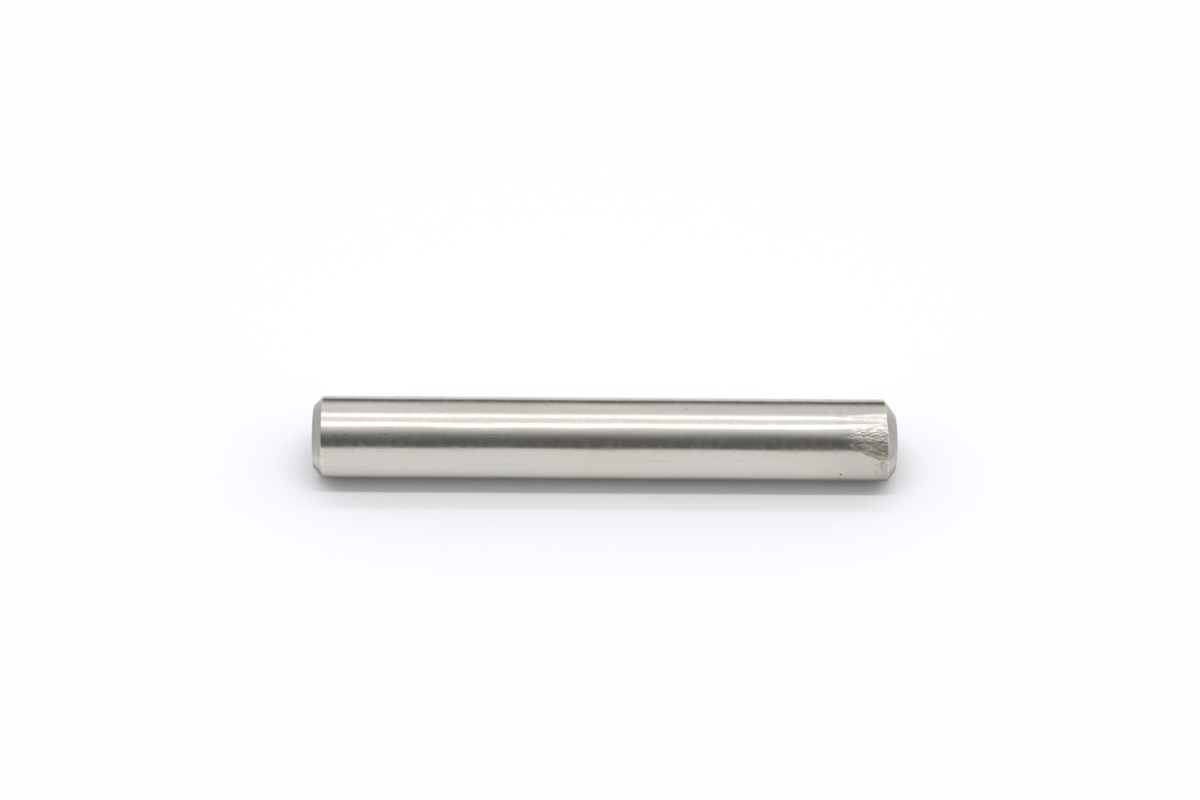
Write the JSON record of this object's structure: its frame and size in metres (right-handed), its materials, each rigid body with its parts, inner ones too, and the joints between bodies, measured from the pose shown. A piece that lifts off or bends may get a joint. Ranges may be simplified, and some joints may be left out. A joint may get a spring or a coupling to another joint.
{
  "type": "dowel pin",
  "caption": "Plain ground steel dowel pin with chamfered ends, worn at one end by a tapered gouge and a rubbed flat.",
  "frame": {"origin": "centre of the square end's flat, which the pin stands on", "axes": "+Z along the pin's axis, from the square end to the worn end; -Y through the middle of the gouge at the worn end; +X to the right of the gouge"},
  "size_m": [0.012, 0.012, 0.085],
  "materials": {
    "ground_steel": "centreless-ground bare steel, satin, with fine rings, specks and a stained gouge at the worn end"
  },
  "bodies": {
    "root": {"dowel_pin": "ground_steel"}
  },
  "joints": []
}
